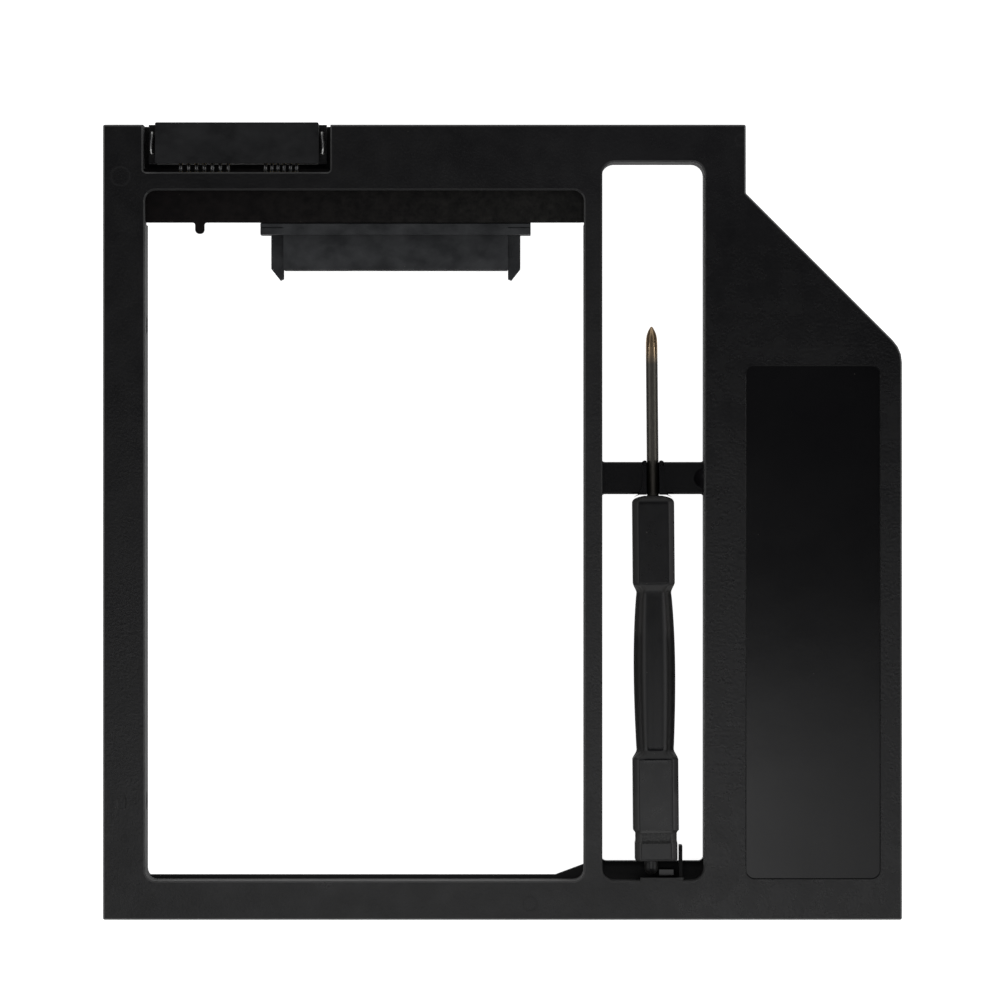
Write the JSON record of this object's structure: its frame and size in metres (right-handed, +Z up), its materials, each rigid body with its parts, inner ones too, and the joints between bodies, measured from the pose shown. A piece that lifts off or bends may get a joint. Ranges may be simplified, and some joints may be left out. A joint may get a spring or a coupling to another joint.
{
  "type": "laptop drive caddy",
  "caption": "Flat black frame that holds a 2.5-inch drive in a laptop's optical bay, with adapter board, drive socket, host plug and a stored screwdriver.",
  "frame": {"origin": "middle of the base: the centre of the overall box, at the underside", "axes": "+X across the caddy towards the cut corner's side, +Y towards the edge with the host plug, +Z up out of the pictured face"},
  "size_m": [0.128, 0.1278, 0.0095],
  "materials": {
    "caddy_plastic": "fine moulded texture, satin black",
    "board_mask": "dark solder mask",
    "connector_plastic": "smooth glass-filled black",
    "contact_metal": "gold plated",
    "tinned_metal": "tinned sheet",
    "screw_metal": "zinc plated",
    "chip_ceramic": "bare ceramic",
    "chip_black": "coated",
    "handle_plastic": "semi-gloss black",
    "tool_steel": "plated steel, bronze tint at the point"
  },
  "bodies": {
    "caddy": {"caddy_frame": "caddy_plastic", "circuit_board": "board_mask", "drive_socket_housing": "connector_plastic", "host_plug_housing": "connector_plastic", "drive_socket_tab_left": "tinned_metal", "drive_socket_tab_right": "tinned_metal", "host_plug_clip_left": "tinned_metal", "host_plug_clip_right": "tinned_metal", "board_screw_left": "screw_metal", "board_screw_right": "screw_metal", "board_capacitor_left": "chip_ceramic", "board_capacitor_right": "chip_ceramic", "board_resistor": "chip_black", "drive_contact_01": "contact_metal", "drive_contact_02": "contact_metal", "drive_contact_03": "contact_metal", "drive_contact_04": "contact_metal", "drive_contact_05": "contact_metal", "drive_contact_06": "contact_metal", "drive_contact_07": "contact_metal", "drive_contact_08": "contact_metal", "drive_contact_09": "contact_metal", "drive_contact_10": "contact_metal", "drive_contact_11": "contact_metal", "drive_contact_12": "contact_metal", "drive_contact_13": "contact_metal", "drive_contact_14": "contact_metal", "drive_contact_15": "contact_metal", "drive_contact_16": "contact_metal", "drive_contact_17": "contact_metal", "drive_contact_18": "contact_metal", "drive_contact_19": "contact_metal", "drive_contact_20": "contact_metal", "drive_contact_21": "contact_metal", "drive_contact_22": "contact_metal", "host_contact_01": "contact_metal", "host_contact_02": "contact_metal", "host_contact_03": "contact_metal", "host_contact_04": "contact_metal", "host_contact_05": "contact_metal", "host_contact_06": "contact_metal", "host_contact_07": "contact_metal", "host_contact_08": "contact_metal", "host_contact_09": "contact_metal", "host_contact_10": "contact_metal", "host_contact_11": "contact_metal", "host_contact_12": "contact_metal", "host_contact_13": "contact_metal"},
    "screwdriver": {"screwdriver_handle": "handle_plastic", "screwdriver_blade": "tool_steel"}
  },
  "joints": [
    {"name": "screwdriver_lift", "type": "slide", "parent": "caddy", "child": "screwdriver", "axis": [0, 0, 1], "range_m": [0, 0.015]}
  ]
}
